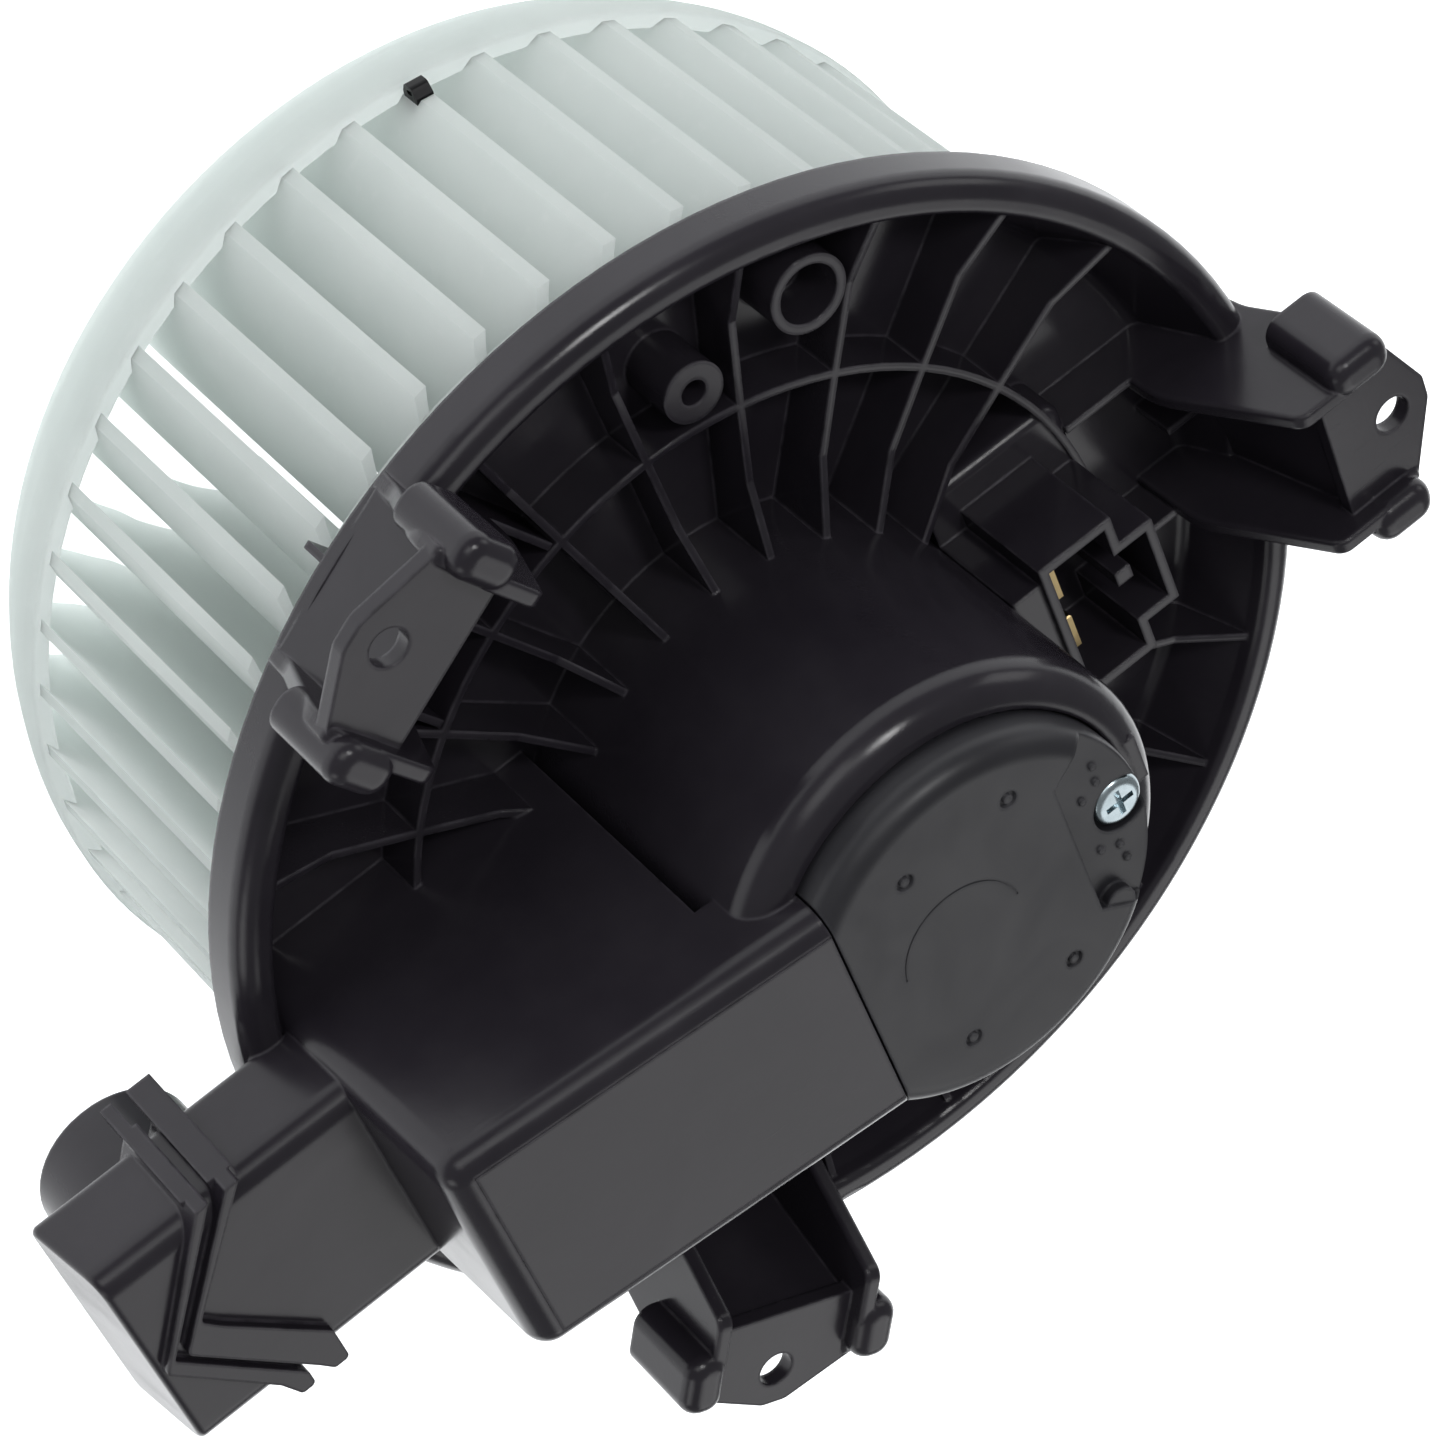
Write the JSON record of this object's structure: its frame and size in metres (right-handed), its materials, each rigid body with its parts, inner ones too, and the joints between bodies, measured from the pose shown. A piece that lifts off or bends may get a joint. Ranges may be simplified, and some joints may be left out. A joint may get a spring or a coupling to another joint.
{
  "type": "blower motor with wheel",
  "caption": "Vehicle heater blower: forward-curved wheel on a motor, in a three-eared flange housing with a motor cap, cooling duct and connector socket.",
  "frame": {"origin": "on the motor axis, in the plane of the three ear seats", "axes": "+Z along the motor axis from the wheel to the motor cap, +X along the cooling duct's snorkel"},
  "size_m": [0.2177, 0.1772, 0.128],
  "materials": {
    "housing_plastic": "moulded semi-gloss black",
    "cap_plastic": "moulded satin black",
    "lid_plastic": "moulded satin black",
    "zinc_screw": "bright zinc plate",
    "brass_terminal": "tin-brass blade",
    "lead_insulation": "PVC",
    "plated_can": "zinc plated",
    "sintered_bronze": "oil-filled sintered bronze",
    "spring_steel": "spring steel",
    "ferrite": "hard ferrite",
    "card_plastic": "phenolic board",
    "carbon": "carbon",
    "copper": "enamelled copper",
    "rubber": "soft rubber",
    "ground_steel": "ground",
    "laminated_iron": "varnished laminations",
    "washer_plastic": "acetal",
    "wheel_plastic": "translucent natural polypropylene",
    "black_steel": "phosphated spring steel"
  },
  "bodies": {
    "housing": {"flange_housing": "housing_plastic", "motor_cap": "cap_plastic", "duct_lid": "lid_plastic", "cap_screw": "zinc_screw", "connector_terminals": "brass_terminal", "motor_leads": "lead_insulation", "motor_can": "plated_can", "can_end_plate": "plated_can", "lower_bush": "sintered_bronze", "upper_bush": "sintered_bronze", "bush_retainers": "spring_steel", "field_magnets": "ferrite", "magnet_clips": "spring_steel", "brush_card": "card_plastic", "brushes": "carbon", "brush_springs": "spring_steel", "choke_coils": "copper", "lower_isolator": "rubber", "upper_isolator": "rubber"},
    "rotor": {"motor_shaft": "ground_steel", "armature_core": "laminated_iron", "armature_windings": "copper", "commutator": "copper", "thrust_washers": "washer_plastic", "wheel_hub": "wheel_plastic", "wheel_blades": "wheel_plastic", "wheel_ring": "wheel_plastic", "wheel_nut": "spring_steel", "balance_clip": "black_steel"}
  },
  "joints": [
    {"name": "rotor_spin", "type": "hinge", "parent": "housing", "child": "rotor", "pos_m": [0, 0, -0.0225], "axis": [0, 0, 1], "continuous": true}
  ]
}
